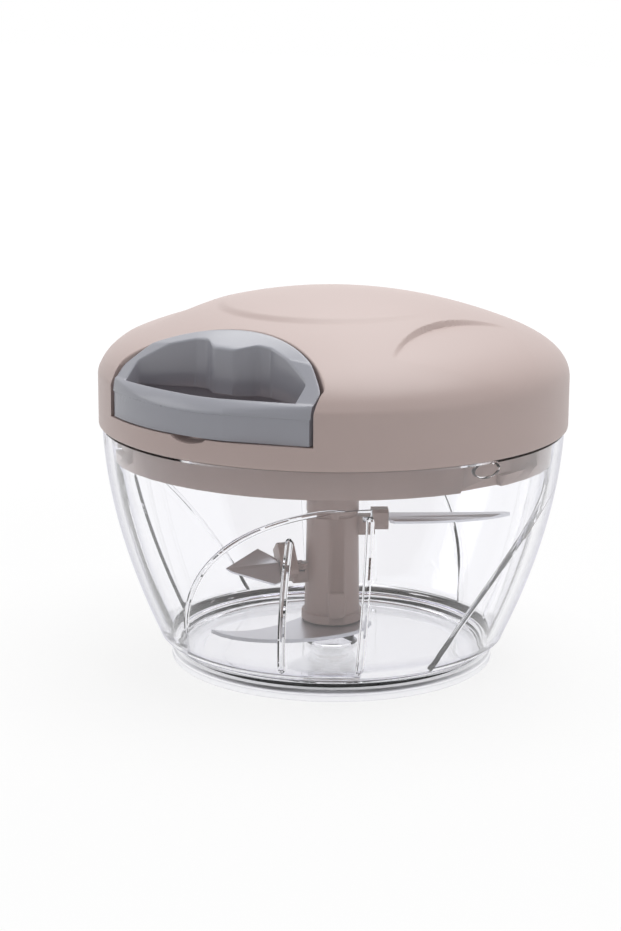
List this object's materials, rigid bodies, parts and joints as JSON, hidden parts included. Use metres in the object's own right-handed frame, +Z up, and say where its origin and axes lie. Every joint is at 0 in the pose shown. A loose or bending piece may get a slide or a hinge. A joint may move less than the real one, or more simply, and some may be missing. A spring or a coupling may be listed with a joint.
{
  "type": "manual food chopper",
  "caption": "Pull-cord food chopper: clear round bowl, domed twist-on lid with a finger handle on a sprung cord, and blades on an upright shaft.",
  "frame": {"origin": "middle of the foot, on the table", "axes": "+Z up along the bowl's axis; -Y towards the handle, the way it pulls; +X to the right of someone who faces the handle"},
  "size_m": [0.125, 0.125, 0.1],
  "materials": {
    "clear_plastic": "clear moulded plastic, glossy",
    "soft_clear": "soft translucent grey plastic",
    "beige_plastic": "pinkish beige moulded plastic, satin",
    "grey_plastic": "grey moulded plastic, satin",
    "white_plastic": "off-white moulded plastic",
    "blade_steel": "stainless steel strip, ground edge",
    "steel": "stainless steel",
    "spring_steel": "tempered spring steel strip",
    "silicone": "soft silicone",
    "cord": "braided cord"
  },
  "bodies": {
    "bowl": {"bowl": "clear_plastic", "foot_ring": "soft_clear", "centre_pin": "steel"},
    "blades": {"blade_shaft": "beige_plastic", "upper_blade": "blade_steel", "middle_blade": "blade_steel", "lower_blade": "blade_steel", "blade_retainer": "steel"},
    "seal": {"seal_ring": "silicone"},
    "lid": {"lid_cover": "beige_plastic", "lid_base": "beige_plastic", "spring_plate": "white_plastic", "clock_spring": "spring_steel", "cord_eyelet": "steel", "cord_lead": "cord", "case_screw_1": "steel", "case_screw_2": "steel", "case_screw_3": "steel", "case_screw_4": "steel", "plate_screw_1": "steel", "plate_screw_2": "steel", "plate_screw_3": "steel"},
    "reel": {"reel": "white_plastic", "drive_shaft": "white_plastic", "reel_screw": "steel", "cord_turns": "cord"},
    "handle": {"pull_handle": "grey_plastic", "cord_knot": "cord"}
  },
  "joints": [
    {"name": "lid_lift", "type": "slide", "parent": "bowl", "child": "seal", "axis": [0, 0, 1], "range_m": [0, 0.08]},
    {"name": "lid_turn", "type": "hinge", "parent": "seal", "child": "lid", "pos_m": [0, 0, 0.065], "axis": [0, 0, 1], "range_deg": [-16, 0]},
    {"name": "handle_pull", "type": "slide", "parent": "lid", "child": "handle", "axis": [0, -1, 0], "range_m": [0, 0.28], "stiffness_N_per_m": 20, "springref_m": -0.2},
    {"name": "reel_spin", "type": "hinge", "parent": "lid", "child": "reel", "pos_m": [0, 0, 0.08], "axis": [0, 0, 1], "continuous": true},
    {"name": "blade_spin", "type": "hinge", "parent": "bowl", "child": "blades", "pos_m": [0, 0, 0.03], "axis": [0, 0, 1], "continuous": true}
  ],
  "couplings": [
    {"joint": "reel_spin", "follows": "handle_pull", "rad_per_m": -56.8},
    {"joint": "blade_spin", "follows": "handle_pull", "rad_per_m": -56.8}
  ]
}
